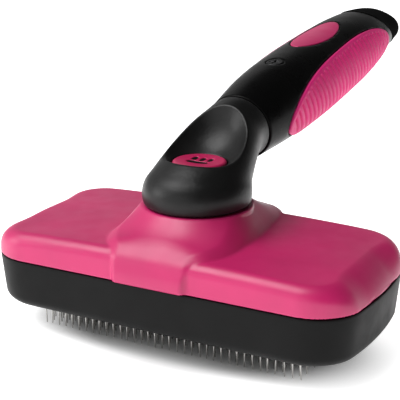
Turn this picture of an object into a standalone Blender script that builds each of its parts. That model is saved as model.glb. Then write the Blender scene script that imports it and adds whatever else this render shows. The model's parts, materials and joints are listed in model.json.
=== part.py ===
"""Self-cleaning slicker brush: a pink and black moulded head on fine bent wire pins.

A thumb button in the neck pushes a black stripper tray down along the fixed pins, and a
coil spring under the button lifts it back. The hollow handle slides over the neck's tenon.
Lengths below are millimetres in the head's own frame: X along the head, +Y towards the
handle's tail, +Z up, the pin tips at zero. MM turns them into Blender's metres.
"""
import bpy
import bmesh
import math
from mathutils import Matrix, Vector

MM = 0.001
GAP = 0.3                     # air between neighbouring pieces

# Head outline and its levels
HEAD_LENGTH = 110.0
HEAD_WIDTH = 52.0
HEAD_CORNER = 11.0
END_BOW = 3.0                 # how far the short ends bow out
PIN_OUT = 7.2                 # free pin length under the tray
TRAY_HEIGHT = 13.8
TRAY_WALL = 1.8
TRAY_TAPER = 0.9
TRAY_ROUND = 3.2
COVER_HEIGHT = 9.2
COVER_WALL = 2.0
COVER_ROUND = 3.0
COVER_DRAFT = 0.4

TRAY_Z = PIN_OUT
PARTING_Z = TRAY_Z + TRAY_HEIGHT
COVER_Z = PARTING_Z + GAP
COVER_TOP_Z = COVER_Z + COVER_HEIGHT - GAP

# Pin field
PIN_ROWS = 7
PINS_PER_ROW = 16
ROW_PITCH = 5.3
PIN_PITCH = 5.0
WIRE = 0.5
PIN_LEAN = 1.2                # sideways throw of the bent tips
BEND_Z = 4.0
SLOT_WIDTH = 1.2
CROWN = (0.8, 0.6)            # width and thickness of a comb's crown strip

# Stack inside the head, upwards
CUSHION_Z = TRAY_Z + TRAY_WALL + 0.4
CUSHION_THICK = 2.2
CROWN_Z = CUSHION_Z + CUSHION_THICK + GAP
BASE_Z = CROWN_Z + CROWN[1] + GAP
BASE_THICK = 2.3
BASE_LENGTH = 86.8
BASE_WIDTH = 39.6
POST_X, POST_Y = 33.0, 13.0
POST_RADIUS = 3.4
LEDGE_Z = COVER_TOP_Z - COVER_WALL - 0.3
YOKE_THICK = 2.5
YOKE_WIDTH = 11.0
YOKE_Z = LEDGE_Z - GAP - YOKE_THICK
LEG_THICK = 3.6
LEG_X = 45.7
YOKE_LENGTH = 2 * LEG_X + LEG_THICK

# Saddle, neck and button
COLLAR_Z = 37.3
COLLAR_RADIUS = 14.35
COLLAR_BASE_RADIUS = 18.5
COLLAR_Y = 0.8
BAND_HALF = 11.1
BAND_RISE = 1.2
SPIGOT_RADIUS = 12.2
SPIGOT_Z = COVER_TOP_Z + GAP
SPRING_SEAT_Z = SPIGOT_Z + 2.0
BUTTON_WELL_Z = 36.8
NECK_SCREW_Y = 9.3
BUTTON_RADIUS = 7.5
BUTTON_Y = 2.0                # the button's axis sits a little behind the head's centre
BUTTON_TOP_Z = 48.7
BUTTON_THICK = 3.4
BUTTON_BOSS_RADIUS = 4.5
BUTTON_BOSS_DEPTH = 4.4
BUTTON_BORE = 7.8
MARK_RADIUS = 4.4
PLUNGER_RADIUS = 3.0
SPRING_RADIUS = 5.35
SPRING_WIRE = 0.4
SPRING_TURNS = 5.5

# The bend of the neck: sections turn about a line through NECK_PIVOT. Each row holds the
# section's angle, its inner and outer distance from that line, and its half width.
NECK_PIVOT = (28.4, 37.3)     # y, z
NECK_SECTIONS = (
    (180.0, 12.7, 42.6, 14.6),
    (176.0, 12.7, 43.0, 14.9),
    (172.0, 12.6, 42.6, 14.9),
    (165.0, 12.2, 39.2, 13.9),
    (156.0, 11.6, 34.6, 13.0),
    (145.0, 10.6, 30.9, 12.1),
    (130.0, 9.3, 27.8, 10.9),
    (115.0, 8.0, 25.6, 9.4),
)
SCOOP_CENTRE = (0.0, 3.0, 64.0)
SCOOP_SIZE = (18.0, 16.8, 17.6)
SCOOP_STRETCH = 0.9           # the dish is a little shorter behind its middle

# Handle: y, height of its centre, half width and half height of the section
HANDLE_STATIONS = (
    (25.8, 52.6, 10.2, 9.8),
    (42.0, 55.2, 12.2, 11.4),
    (64.0, 58.2, 13.3, 12.0),
    (86.0, 61.1, 13.1, 11.7),
    (102.0, 63.3, 12.6, 11.2),
    (117.0, 65.2, 11.2, 9.9),
    (130.0, 66.2, 9.0, 8.0),
    (140.0, 65.9, 6.9, 5.9),
    (149.0, 65.1, 4.9, 3.9),
)
SLEEVE_START, SLEEVE_END, TAIL_END = 25.8, 138.0, 149.0
SLEEVE_WALL = 2.8
TENON = (8.5, 8.1)            # half width and half height
TENON_END = 56.0
SHOULDER = 58.0
CAP_PROUD = 0.4
CAP_WALL = 3.6
CAP_SPLIT = (114.0, 75.6)     # y, z on top, where the slanted end cap starts
CAP_SLANT = math.radians(57.4)
GRIP_START, GRIP_END = 36.5, 121.5
GRIP_HALF_ANGLE = math.radians(50.0)
GRIP_DROP = math.radians(14.0)  # how far the lens turns down at its front end
GRIP_DEPTH = 1.3
GRIP_PROUD = 0.4
BADGE_CENTRE, BADGE_LENGTH, BADGE_WIDTH = 82.0, 31.0, 10.6
HANDLE_SCREW_Y = 51.0

HEAD_Y = -(TAIL_END - HEAD_WIDTH / 2 - BAND_RISE) / 2   # centres the whole brush on Y


def clear_scene():
    for old in list(bpy.data.objects):
        bpy.data.objects.remove(old, do_unlink=True)


def new_collection(name):
    group = bpy.data.collections.new(name)
    bpy.context.scene.collection.children.link(group)
    return group


def material(name, colour, roughness, metallic=0.0):
    made = bpy.data.materials.new(name)
    made.use_nodes = True
    shader = made.node_tree.nodes["Principled BSDF"]
    shader.inputs["Base Color"].default_value = (*colour, 1.0)
    shader.inputs["Roughness"].default_value = roughness
    shader.inputs["Metallic"].default_value = metallic
    return made


clear_scene()
PARTS = new_collection("slicker_brush")
CUTTERS = new_collection("cutters")
FINISH = {
    "pink": ((0.80, 0.06, 0.20), 0.35, 0.0),
    "soft_pink": ((0.72, 0.05, 0.17), 0.6, 0.0),
    "black": ((0.02, 0.02, 0.02), 0.4, 0.0),
    "soft_black": ((0.02, 0.02, 0.02), 0.6, 0.0),
    "inner": ((0.10, 0.10, 0.11), 0.5, 0.0),
    "rubber": ((0.05, 0.05, 0.05), 0.8, 0.0),
    "steel": ((0.60, 0.60, 0.62), 0.25, 1.0),
}


# ---------------------------------------------------------------- basic makers
def add_object(name, mesh, finish, group=None):
    made = bpy.data.objects.new(name, mesh)
    (group or PARTS).objects.link(made)
    if finish:
        mesh.materials.append(material(name + "_" + finish, *FINISH[finish]))
    return made


def smooth(mesh, angle=35.0):
    mesh.shade_smooth()
    mesh.set_sharp_from_angle(angle=math.radians(angle))


def from_bmesh(name, shape, finish, group=None):
    mesh = bpy.data.meshes.new(name)
    shape.to_mesh(mesh)
    shape.free()
    smooth(mesh)
    return add_object(name, mesh, finish, group)


def loft(name, rings, finish, loop=False, group=None):
    """Skin equal-length rings of millimetre points, capped, or joined last to first."""
    shape = bmesh.new()
    rows = [[shape.verts.new(Vector(p) * MM) for p in ring] for ring in rings]
    pairs = list(zip(rows, rows[1:]))
    if loop:
        pairs.append((rows[-1], rows[0]))
    count = len(rows[0])
    for low, high in pairs:
        for i in range(count):
            j = (i + 1) % count
            shape.faces.new((low[i], low[j], high[j], high[i]))
    if not loop:
        shape.faces.new(reversed(rows[0]))
        shape.faces.new(rows[-1])
    bmesh.ops.recalc_face_normals(shape, faces=shape.faces)
    return from_bmesh(name, shape, finish, group)


def box(name, size, centre, finish=None, group=None):
    shape = bmesh.new()
    bmesh.ops.create_cube(shape, size=1.0)
    bmesh.ops.scale(shape, vec=Vector(size) * MM, verts=shape.verts)
    bmesh.ops.translate(shape, vec=Vector(centre) * MM, verts=shape.verts)
    return from_bmesh(name, shape, finish, group)


def rod(name, radius, low, high, x=0.0, y=0.0, finish=None, group=None, segments=24):
    """A plain vertical cylinder between two heights."""
    shape = bmesh.new()
    bmesh.ops.create_cone(shape, cap_ends=True, segments=segments, radius1=radius * MM,
                          radius2=radius * MM, depth=(high - low) * MM)
    middle = Vector((x, y, (low + high) / 2)) * MM
    bmesh.ops.translate(shape, vec=middle, verts=shape.verts)
    return from_bmesh(name, shape, finish, group)


def turned(name, profile, finish, x=0.0, y=0.0, closed=False, steps=24, group=None):
    """Turn (radius, height) points about a vertical axis; they run down the outer side."""
    mesh = bpy.data.meshes.new(name)
    points = [Vector((r, 0.0, z)) * MM for r, z in profile]
    edges = [(i, i + 1) for i in range(len(points) - 1)]
    if closed:
        edges.append((len(points) - 1, 0))
    mesh.from_pydata(points, edges, [])
    made = add_object(name, mesh, finish, group)
    made.location = Vector((x, y, 0.0)) * MM
    screw = made.modifiers.new("turn", "SCREW")
    screw.steps = screw.render_steps = steps
    screw.use_merge_vertices = True
    screw.merge_threshold = 1e-6
    screw.use_smooth_shade = False
    return made


def boolean(target, tool, operation):
    tool.hide_render = True
    tool.display_type = "WIRE"
    step = target.modifiers.new(operation.lower() + "_" + tool.name, "BOOLEAN")
    step.operation = operation
    step.object = tool


def cut(target, *tools):
    for tool in tools:
        boolean(target, tool, "DIFFERENCE")


def fuse(target, *tools):
    for tool in tools:
        boolean(target, tool, "UNION")


# ---------------------------------------------------------------- head
def head_outline(inset, z, corner=HEAD_CORNER, length=None, width=None, bow=END_BOW):
    """A rounded rectangle whose short ends bow out, as a ring of points at one height."""
    half_x = (length or HEAD_LENGTH) / 2 - bow - inset
    half_y = (width or HEAD_WIDTH) / 2 - inset
    radius = max(corner - 0.6 * inset, 1.5)
    ring = []
    for quarter, (side_x, side_y) in enumerate(((1, 1), (-1, 1), (-1, -1), (1, -1))):
        for step in range(6):
            turn = math.radians(90 * quarter + 18 * step)
            x = side_x * (half_x - radius) + radius * math.cos(turn)
            y = side_y * (half_y - radius) + radius * math.sin(turn)
            ring.append([x, y, z])
        if quarter in (1, 3):
            continue
        for part in (0.5, 0.0, -0.5):
            ring.append([-side_x * half_x, part * side_x * (half_y - radius), z])
    ring.sort(key=lambda p: math.atan2(p[1] / half_y, p[0] / half_x))
    for point in ring:
        point[0] *= 1 + bow / half_x * (1 - (point[1] / half_y) ** 2)
    return ring


def rounded_rings(z_start, z_end, inset_start, inset_end, radius, direction):
    """Rings of a wall that ends in a quarter-round edge, going up (1) or down (-1)."""
    rings = [head_outline(inset_start, z_start)]
    for step in range(4):
        turn = math.radians(30 * step)
        inset = inset_end + radius * (1 - math.cos(turn))
        rings.append(head_outline(inset, z_end - direction * radius * (1 - math.sin(turn))))
    return rings


def make_tray():
    outer = rounded_rings(PARTING_Z, TRAY_Z, 0.0, TRAY_TAPER, TRAY_ROUND, -1)
    inner = rounded_rings(PARTING_Z, TRAY_Z + TRAY_WALL, TRAY_WALL, TRAY_TAPER + TRAY_WALL,
                          TRAY_ROUND - TRAY_WALL, -1)
    tray = loft("stripper_tray", outer[::-1] + inner, "black")
    slot_length = PINS_PER_ROW * PIN_PITCH + PIN_LEAN + 2
    for row in range(PIN_ROWS):
        size = (slot_length, SLOT_WIDTH, 3 * TRAY_WALL)
        cut(tray, box(f"tray_slot_{row}", size, (0, row_y(row), TRAY_Z), group=CUTTERS))
    for side in (-1, 1):
        cut(tray, screw_seat(f"tray_screw_hole_{side}", side * LEG_X, 0, TRAY_Z))
    return tray


def screw_seat(name, x, y, z, head=2.1, shank=1.3, depth=1.0):
    """The stepped hole for a screw that goes up from a face at height z."""
    profile = ((shank, z + 6), (shank, z + depth), (head, z + depth), (head, z - 3))
    return turned(name, ((0, z + 6), *profile, (0, z - 3)), None, x, y, steps=12,
                  group=CUTTERS)


def make_screw(name, x, y, z, top, head=1.8, shank=1.0, thick=0.7):
    """A pan-head screw pointing up, its head's underside at height z."""
    profile = ((0, top), (shank * 0.6, top), (shank, top - 1), (shank, z + thick),
               (head, z + thick), (head, z), (0, z))
    return turned(name, profile, "steel", x, y, steps=12)


def row_y(row):
    return (row - (PIN_ROWS - 1) / 2) * ROW_PITCH


def make_cushion():
    rings = [head_outline(0, z, 6.0, BASE_LENGTH, BASE_WIDTH, 1.5)
             for z in (CUSHION_Z, CUSHION_Z + CUSHION_THICK)]
    cushion = loft("pin_cushion", rings, "rubber")
    slot_length = PINS_PER_ROW * PIN_PITCH + 1
    for row in range(PIN_ROWS):
        size = (slot_length, WIRE + 2 * GAP, 4 * CUSHION_THICK)
        cut(cushion, box(f"cushion_slot_{row}", size, (0, row_y(row), CUSHION_Z),
                         group=CUTTERS))
    return cushion


def make_base_plate():
    rings = [head_outline(0, z, 6.0, BASE_LENGTH, BASE_WIDTH, 1.5)
             for z in (BASE_Z, BASE_Z + BASE_THICK)]
    plate = loft("pin_base_plate", rings, "inner")
    for x, y in post_places():
        cut(plate, screw_seat(f"base_hole_{x:.0f}_{y:.0f}", x, y, BASE_Z, head=2.4, depth=1.1))
    return plate


def post_places():
    return [(sx * POST_X, sy * POST_Y) for sx in (-1, 1) for sy in (-1, 1)]


def make_pin_comb(row):
    """One row of bent wire pins hanging from a thin crown strip, as a single body."""
    length = PINS_PER_ROW * PIN_PITCH
    shape = bmesh.new()
    bmesh.ops.create_cube(shape, size=1.0)
    size = Vector((length, CROWN[0], CROWN[1])) * MM
    bmesh.ops.scale(shape, vec=size, verts=shape.verts)
    for k in range(1, PINS_PER_ROW):
        plane = Vector((k * PIN_PITCH - length / 2, 0, 0)) * MM
        bmesh.ops.bisect_plane(shape, geom=shape.verts[:] + shape.edges[:] + shape.faces[:],
                               plane_co=plane, plane_no=(1, 0, 0))
    under = [f for f in shape.faces if f.normal.z < -0.9]
    bmesh.ops.inset_individual(shape, faces=under, thickness=0.1 * MM)
    place = Vector((0, row_y(row), CROWN_Z + CROWN[1] / 2)) * MM
    bmesh.ops.translate(shape, vec=place, verts=shape.verts)
    stagger = PIN_PITCH / 4 * (1 if row % 2 else -1)
    lean = PIN_LEAN * (1 if row % 2 else -1)
    for face in under:
        middle = face.calc_center_median()
        middle.x += (stagger * 0.5) * MM
        square_up(face, middle, WIRE)
    for z, shift in ((BEND_Z, 0.0), (0.0, lean)):
        made = bmesh.ops.extrude_discrete_faces(shape, faces=under)
        under = made["faces"]
        for face in under:
            middle = face.calc_center_median()
            middle.x += shift * MM
            middle.z = z * MM
            square_up(face, middle, WIRE if z else WIRE * 0.8)
    return from_bmesh(f"pin_comb_{row + 1}", shape, "steel")


def square_up(face, middle, side):
    """Moves a four-sided face onto a level square about a middle point."""
    old = face.calc_center_median()
    for vert in face.verts:
        vert.co.x = middle.x + math.copysign(side / 2 * MM, vert.co.x - old.x)
        vert.co.y = middle.y + math.copysign(side / 2 * MM, vert.co.y - old.y)
        vert.co.z = middle.z


def make_cover():
    outer = rounded_rings(COVER_Z, COVER_TOP_Z, 0.0, COVER_DRAFT, COVER_ROUND, 1)
    inner = rounded_rings(COVER_Z, COVER_TOP_Z - COVER_WALL, COVER_WALL,
                          COVER_DRAFT + COVER_WALL, COVER_ROUND - COVER_WALL, 1)
    cover = loft("head_cover", inner[::-1] + outer, "pink")
    saddle = ((0, COLLAR_Z - GAP), (COLLAR_RADIUS + 0.7, COLLAR_Z - GAP),
              (COLLAR_RADIUS + 1.6, COVER_TOP_Z + 2.4), (COLLAR_BASE_RADIUS, COVER_TOP_Z - 0.5),
              (COLLAR_BASE_RADIUS, LEDGE_Z), (0, LEDGE_Z))
    fuse(cover, turned("saddle", saddle, None, y=COLLAR_Y, steps=40, group=CUTTERS), make_band())
    for x, y in post_places():
        fuse(cover, rod(f"post_{x:.0f}_{y:.0f}", POST_RADIUS, BASE_Z + BASE_THICK + GAP,
                        COVER_TOP_Z - 1, x, y, group=CUTTERS, segments=16))
    for x, y in post_places():
        cut(cover, rod(f"pilot_{x:.0f}_{y:.0f}", 1.3, BASE_Z, COVER_TOP_Z - 5, x, y,
                       group=CUTTERS, segments=12))
    cut(cover, rod("collar_bore", SPIGOT_RADIUS + GAP, COVER_TOP_Z, COLLAR_Z + 5,
                   group=CUTTERS, segments=40),
        rod("plunger_way", PLUNGER_RADIUS + 0.6, LEDGE_Z - 3, COVER_TOP_Z + 2, y=BUTTON_Y,
            group=CUTTERS))
    for side in (-1, 1):
        cut(cover, rod(f"neck_screw_way_{side}", 1.5, LEDGE_Z - 3, COVER_TOP_Z + 2,
                       y=side * NECK_SCREW_Y, group=CUTTERS, segments=12))
    return cover


def make_band():
    """The strap-like rib that runs over the cover from front to back under the neck."""
    half_y = HEAD_WIDTH / 2 + BAND_RISE
    top = COVER_TOP_Z + BAND_RISE
    outline = ((-half_y, COVER_Z), (half_y, COVER_Z), (half_y, top - 4), (half_y - 4, top),
               (-half_y + 4, top), (-half_y, top - 4))
    inner = HEAD_WIDTH / 2 - COVER_WALL + 0.5
    inside = ((-inner, COVER_Z), (-inner, COVER_TOP_Z - COVER_WALL + 0.5),
              (inner, COVER_TOP_Z - COVER_WALL + 0.5), (inner, COVER_Z))
    ring = [outline[0], *inside, *outline[1:]]
    rings = [[(x, y, z) for y, z in ring] for x in (-BAND_HALF, BAND_HALF)]
    return loft("band", rings, None, group=CUTTERS)


# ---------------------------------------------------------------- ejector
def make_yoke():
    yoke = box("ejector_yoke", (YOKE_LENGTH, YOKE_WIDTH, YOKE_THICK),
               (0, 0, YOKE_Z + YOKE_THICK / 2), "inner")
    leg_low = TRAY_Z + TRAY_WALL + GAP
    for side in (-1, 1):
        leg = box(f"leg_{side}", (LEG_THICK, YOKE_WIDTH - 0.4, YOKE_Z + 1 - leg_low),
                  (side * (LEG_X - 0.01), 0, (YOKE_Z + 1 + leg_low) / 2), group=CUTTERS)
        fuse(yoke, leg)
        cut(yoke, rod(f"leg_pilot_{side}", 1.2, leg_low - 1, leg_low + 8, side * LEG_X, 0,
                      group=CUTTERS, segments=12))
    cut(yoke, screw_seat("plunger_screw_seat", 0, BUTTON_Y, YOKE_Z, head=2.5, shank=1.4, depth=1.3))
    return yoke


def make_plunger():
    low = YOKE_Z + YOKE_THICK + GAP
    plunger = rod("plunger", PLUNGER_RADIUS, low, BUTTON_TOP_Z - 2.9, y=BUTTON_Y,
                  finish="inner")
    cut(plunger, rod("plunger_pilot", 1.4, low - 1, low + 8, y=BUTTON_Y, group=CUTTERS,
                     segments=12))
    return plunger


def make_button():
    top, disc = BUTTON_TOP_Z, BUTTON_TOP_Z - BUTTON_THICK
    hole = PLUNGER_RADIUS + GAP
    profile = ((0, top), (BUTTON_RADIUS - 1.2, top), (BUTTON_RADIUS - 0.3, top - 0.4),
               (BUTTON_RADIUS, top - 1.2), (BUTTON_RADIUS, disc), (BUTTON_BOSS_RADIUS, disc),
               (BUTTON_BOSS_RADIUS, disc - BUTTON_BOSS_DEPTH), (hole, disc - BUTTON_BOSS_DEPTH),
               (hole, top - 2.6), (0, top - 2.6))
    button = turned("thumb_button", profile, "pink", y=BUTTON_Y)
    cut(button, rod("mark_pocket", MARK_RADIUS + 0.1, top - 0.8, top + 2, y=BUTTON_Y,
                    group=CUTTERS))
    return button


def make_spring():
    """The return coil, a poly spline about the plunger with flat closing turns."""
    low = SPRING_SEAT_Z + GAP + SPRING_WIRE
    high = BUTTON_TOP_Z - BUTTON_THICK - GAP - SPRING_WIRE
    curve = bpy.data.curves.new("return_spring", "CURVE")
    curve.dimensions = "3D"
    curve.bevel_depth = SPRING_WIRE * MM
    curve.bevel_resolution = 2
    curve.use_fill_caps = True
    count = int(SPRING_TURNS * 12)
    spline = curve.splines.new("POLY")
    spline.points.add(count)
    for i, point in enumerate(spline.points):
        part = i / count
        turn = 2 * math.pi * SPRING_TURNS * part
        rise = min(max((part - 0.1) / 0.8, 0.0), 1.0)
        pinch = 2.1 * SPRING_WIRE * (min(part, 0.1) / 0.1 + max(part - 0.9, 0.0) / 0.1) / 2
        z = low + (high - low - 2.1 * SPRING_WIRE) * rise + pinch
        across, along = SPRING_RADIUS * math.cos(turn), SPRING_RADIUS * math.sin(turn)
        point.co = (*(Vector((across, along + BUTTON_Y, z)) * MM), 1.0)
    made = bpy.data.objects.new("return_spring", curve)
    PARTS.objects.link(made)
    curve.materials.append(material("return_spring_steel", *FINISH["steel"]))
    return made


# ---------------------------------------------------------------- neck
def ease(rows, key):
    """Smooth interpolation between the rows of a table whose first column is the key."""
    rising = rows[-1][0] > rows[0][0]
    table = rows if rising else rows[::-1]
    key = min(max(key, table[0][0]), table[-1][0])
    place = max(i for i, row in enumerate(table) if row[0] <= key)
    place = min(place, len(table) - 2)
    low, high = table[place], table[place + 1]
    span = high[0] - low[0]
    part = (key - low[0]) / span
    before, after = table[max(place - 1, 0)], table[min(place + 2, len(table) - 1)]
    values = []
    for column in range(1, len(low)):
        slope_low = (high[column] - before[column]) / (high[0] - before[0])
        slope_high = (after[column] - low[column]) / (after[0] - low[0])
        values.append((2 * part ** 3 - 3 * part ** 2 + 1) * low[column]
                      + (part ** 3 - 2 * part ** 2 + part) * span * slope_low
                      + (3 * part ** 2 - 2 * part ** 3) * high[column]
                      + (part ** 3 - part ** 2) * span * slope_high)
    return values


def handle_frame(y):
    """Centre, up direction and half sizes of the handle's section at a station."""
    z, half_width, half_height = ease(HANDLE_STATIONS, y)
    rise = ease(HANDLE_STATIONS, y + 0.5)[0] - ease(HANDLE_STATIONS, y - 0.5)[0]
    run = min(y + 0.5, TAIL_END) - max(y - 0.5, SLEEVE_START)
    tilt = math.atan2(rise, run)
    up = Vector((0, -math.sin(tilt), math.cos(tilt)))
    return Vector((0, y, z)), up, half_width, half_height


def oval(centre, up, half_width, half_height, count=24):
    ring = []
    for i in range(count):
        turn = 2 * math.pi * i / count
        ring.append(centre + Vector((half_width * math.cos(turn), 0, 0))
                    + up * (half_height * math.sin(turn)))
    return ring


def handle_ring(y, inset=0.0, size=None):
    centre, up, half_width, half_height = handle_frame(y)
    if size:
        half_width, half_height = size
    return oval(centre, up, half_width - inset, half_height - inset)


def neck_ring(angle, inner, outer, half_width):
    turn = math.radians(angle)
    up = Vector((0, math.cos(turn), math.sin(turn)))
    pivot = Vector((0, *NECK_PIVOT))
    return oval(pivot + up * (inner + outer) / 2, up, half_width, (outer - inner) / 2)


def make_neck():
    angles = (180, 176, 172, 168, 163, 157, 150, 141, 130, 115)
    rings = [neck_ring(a, *ease(NECK_SECTIONS, a)) for a in angles]
    rings += [handle_ring(y, size=TENON) for y in (SLEEVE_START, 36, 46, TENON_END)]
    neck = loft("neck", rings, "black")
    fuse(neck, rod("spigot", SPIGOT_RADIUS, SPIGOT_Z, COLLAR_Z + 2, group=CUTTERS,
                   segments=40))
    scoop = bmesh.new()
    bmesh.ops.create_uvsphere(scoop, u_segments=24, v_segments=16, radius=MM)
    bmesh.ops.scale(scoop, vec=SCOOP_SIZE, verts=scoop.verts)
    for vert in scoop.verts:
        vert.co.y *= SCOOP_STRETCH if vert.co.y > 0 else 1.0
    bmesh.ops.translate(scoop, vec=Vector(SCOOP_CENTRE) * MM, verts=scoop.verts)
    cut(neck, from_bmesh("scoop", scoop, None, CUTTERS))
    steps = ((BUTTON_BORE, BUTTON_WELL_Z, BUTTON_TOP_Z + 8),
             (SPRING_RADIUS + SPRING_WIRE + 0.35, SPRING_SEAT_Z, BUTTON_WELL_Z + 1),
             (PLUNGER_RADIUS + GAP, SPIGOT_Z - 2, SPRING_SEAT_Z + 1))
    for i, (radius, low, high) in enumerate(steps):
        cut(neck, rod(f"neck_bore_{i}", radius, low, high, y=BUTTON_Y, group=CUTTERS,
                      segments=32))
    for side in (-1, 1):
        cut(neck, rod(f"neck_pilot_{side}", 1.3, SPIGOT_Z - 1, SPIGOT_Z + 5,
                      y=side * NECK_SCREW_Y, group=CUTTERS, segments=12))
    hollow = [handle_ring(y, 2.6, TENON) for y in (34, 46, TENON_END + 3)]
    cut(neck, loft("tenon_hollow", hollow, None, group=CUTTERS))
    cut(neck, handle_screw_way("tenon_pilot", 1.3, -30, 4))
    return neck


# ---------------------------------------------------------------- handle
def handle_screw_way(name, radius, low, high, finish=None, group=None):
    """A rod along the handle screw's axis; low and high count from the handle's skin."""
    centre, up, _, half_height = handle_frame(HANDLE_SCREW_Y)
    made = rod(name, radius, low, high, finish=finish, group=group or CUTTERS, segments=20)
    lean = Matrix.Rotation(math.atan2(-up.y, up.z), 4, "X")
    made.data.transform(lean)
    made.data.transform(Matrix.Translation((centre + up * half_height) * MM))
    return made


def slant_block(name, gap):
    """A large block whose front face is the slanted plane where the end cap starts."""
    made = box(name, (60, 90, 140), (0, 45 + gap, 0), group=CUTTERS)
    turn = Matrix.Rotation(CAP_SLANT, 4, "X")
    made.data.transform(turn)
    made.data.transform(Matrix.Translation(Vector((0, *CAP_SPLIT)) * MM))
    return made


def make_sleeve():
    outer = [handle_ring(y) for y in (SLEEVE_START, 34, 42, 52, 64, 78, 92, 106, 118, 130,
                                      SLEEVE_END)]
    bore = (TENON[0] + 0.4, TENON[1] + 0.4)
    inner = [handle_ring(y, SLEEVE_WALL) for y in (SLEEVE_END, 130, 120, 112, 104, 98, 78,
                                                   SHOULDER)]
    inner += [handle_ring(y, size=bore) for y in (SHOULDER, 42, SLEEVE_START)]
    sleeve = loft("handle_sleeve", outer + inner, "black", loop=True)
    cut(sleeve, slant_block("sleeve_end_cut", 0.0))
    for side in (-1, 1):
        cut(sleeve, grip_patch(f"grip_recess_{side}", side, 2.0, GRIP_DEPTH + 2.0, GAP))
    cut(sleeve, badge_plate("badge_recess", 3.0, 3.8, GAP))
    cut(sleeve, handle_screw_way("screw_way", 1.6, -8, 2),
        handle_screw_way("screw_head_way", 2.9, -1.6, 5))
    return sleeve


def make_end_cap():
    outer = [handle_ring(y, -CAP_PROUD) for y in (96, 104, 112, 120, 128, 135, 142)]
    outer.append(handle_ring(TAIL_END - 2.5, 0.2))
    outer.append(handle_ring(TAIL_END - 0.5, 1.5))
    outer.append(handle_ring(TAIL_END, 3.0))
    inner = [handle_ring(y, CAP_WALL) for y in (136, 128, 118, 106, 96)]
    cap = loft("end_cap", outer, "soft_black")
    hollow = loft("cap_hollow", inner + [handle_ring(90, CAP_WALL)], None, group=CUTTERS)
    cut(cap, hollow)
    trim = slant_block("cap_trim", GAP)
    boolean(cap, trim, "INTERSECT")
    lip_outer = [handle_ring(y, SLEEVE_WALL + GAP) for y in (104, 112, 120, 130)]
    lip_inner = [handle_ring(y, CAP_WALL + 0.9) for y in (130, 120, 112, 104)]
    fuse(cap, loft("cap_lip", lip_outer + lip_inner, None, loop=True, group=CUTTERS))
    return cap


def grip_shape(along):
    """Half angle of the lens-shaped side grip at a place from -1 to 1 along it."""
    return GRIP_HALF_ANGLE * (1 - abs(along) ** 2.3) ** 0.5


def grip_patch(name, side, proud, thickness, grow, finish=None, group=None):
    """A lens of the handle's skin on one side, thickened inwards from a proud surface."""
    middle, half = (GRIP_START + GRIP_END) / 2, (GRIP_END - GRIP_START) / 2 + grow
    columns, lines = 10, 6
    rings = []
    for level in (proud, proud - thickness):
        for i in range(columns + 1):
            along = -math.cos(math.pi * i / columns) * 0.995
            y = middle + half * along
            centre, up, half_width, half_height = handle_frame(y)
            spread = grip_shape(along) + grow / half_height
            row = []
            for k in range(lines + 1):
                angle = spread * (2 * k / lines - 1) - GRIP_DROP * (1 - along) / 2
                row.append(centre + Vector((side * (half_width + level) * math.cos(angle), 0, 0))
                           + up * ((half_height + level) * math.sin(angle)))
            rings.append(row)
    return two_skins(name, rings, columns, finish, group or CUTTERS)


def two_skins(name, rows, columns, finish, group):
    """Closes a body between an outer and an inner grid of points."""
    shape = bmesh.new()
    grid = [[shape.verts.new(Vector(p) * MM) for p in row] for row in rows]
    outer, inner = grid[:columns + 1], grid[columns + 1:]
    for skin in (outer, inner):
        for low, high in zip(skin, skin[1:]):
            for k in range(len(low) - 1):
                shape.faces.new((low[k], low[k + 1], high[k + 1], high[k]))
    rim = list(outer[0]) + [row[-1] for row in outer[1:]]
    rim += list(reversed(outer[-1][:-1])) + [row[0] for row in reversed(outer[1:-1])]
    back = list(inner[0]) + [row[-1] for row in inner[1:]]
    back += list(reversed(inner[-1][:-1])) + [row[0] for row in reversed(inner[1:-1])]
    for i in range(len(rim)):
        j = (i + 1) % len(rim)
        shape.faces.new((rim[i], rim[j], back[j], back[i]))
    bmesh.ops.recalc_face_normals(shape, faces=shape.faces)
    return from_bmesh(name, shape, finish, group)


def badge_plate(name, proud, thickness, grow, finish=None, group=None):
    """An oval plate that follows the handle's top."""
    half = BADGE_LENGTH / 2 + grow
    columns, lines = 10, 4
    rows = []
    for level in (proud, proud - thickness):
        for i in range(columns + 1):
            along = -math.cos(math.pi * i / columns) * 0.99
            y = BADGE_CENTRE + half * along
            centre, up, half_width, half_height = handle_frame(y)
            spread = (BADGE_WIDTH / 2 + grow) * math.sqrt(1 - along ** 2) / half_width
            row = []
            for k in range(lines + 1):
                angle = math.pi / 2 - spread * (2 * k / lines - 1)
                row.append(centre + Vector(((half_width + level) * math.cos(angle), 0, 0))
                           + up * ((half_height + level) * math.sin(angle)))
            rows.append(row)
    return two_skins(name, rows, columns, finish, group or CUTTERS)


# ---------------------------------------------------------------- assembly
def make_fasteners():
    made = []
    for x, y in post_places():
        name = ("left" if x < 0 else "right") + ("_front" if y < 0 else "_rear")
        made.append(make_screw(f"base_screw_{name}", x, y, BASE_Z + 0.1, COVER_TOP_Z - 7,
                               head=2.1))
    for y, name in ((-NECK_SCREW_Y, "front"), (NECK_SCREW_Y, "rear")):
        made.append(make_screw(f"neck_screw_{name}", 0, y, LEDGE_Z - GAP - 1.0, SPIGOT_Z + 4.4,
                               head=2.0, thick=1.0))
    return made


def make_moving_screws():
    made = [make_screw(f"tray_screw_{name}", x, 0, TRAY_Z + 0.1, TRAY_Z + 8)
            for x, name in ((-LEG_X, "left"), (LEG_X, "right"))]
    made.append(make_screw("plunger_screw", 0, BUTTON_Y, YOKE_Z + 0.2, YOKE_Z + 9, head=2.1,
                           thick=0.8))
    return made


def make_handle_screw():
    head = handle_screw_way("handle_screw", 2.6, -1.3, -0.2, "steel", PARTS)
    shank = handle_screw_way("handle_screw_shank", 1.0, -6.5, -1.2)
    fuse(head, shank)
    return head


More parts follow.
